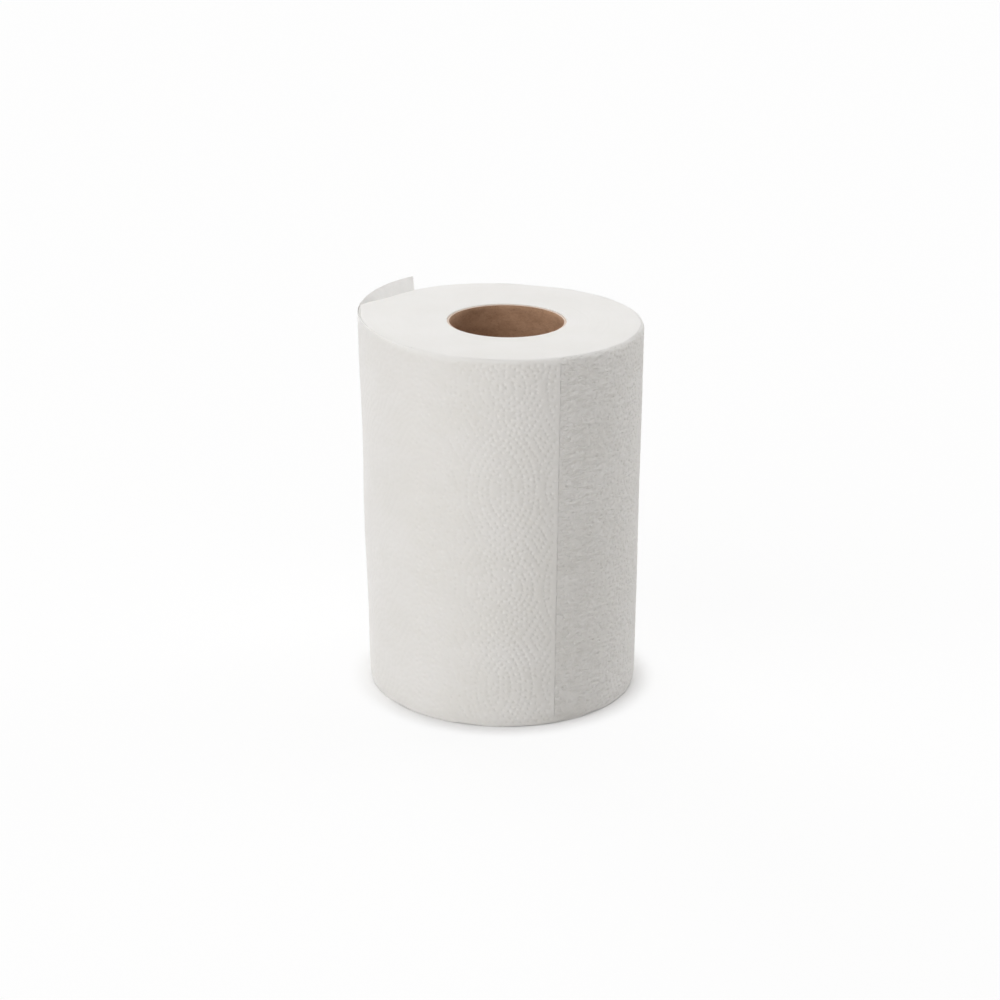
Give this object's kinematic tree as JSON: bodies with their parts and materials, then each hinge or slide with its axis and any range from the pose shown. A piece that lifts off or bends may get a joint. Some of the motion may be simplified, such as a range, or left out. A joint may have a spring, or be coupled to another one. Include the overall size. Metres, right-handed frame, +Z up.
{
  "type": "paper towel roll",
  "caption": "White embossed paper towel web wound on a cardboard tube, standing on end, perforated into sheets, with the last sheet loose so that it can be pulled off.",
  "frame": {"origin": "on the core tube's axis, level with the lower end that the roll stands on", "axes": "+Z up along the core tube, -Y to the front, where a perforation runs right of the middle; the loose tail leaves the roll at the front left and stands off at the back left (-X, +Y)"},
  "size_m": [0.1513, 0.1569, 0.2],
  "materials": {
    "core_board": "matte brown kraft board",
    "towel_paper": "matte white embossed tissue"
  },
  "bodies": {
    "root": {"core_tube": "core_board", "towel_roll": "towel_paper"}
  },
  "joints": []
}
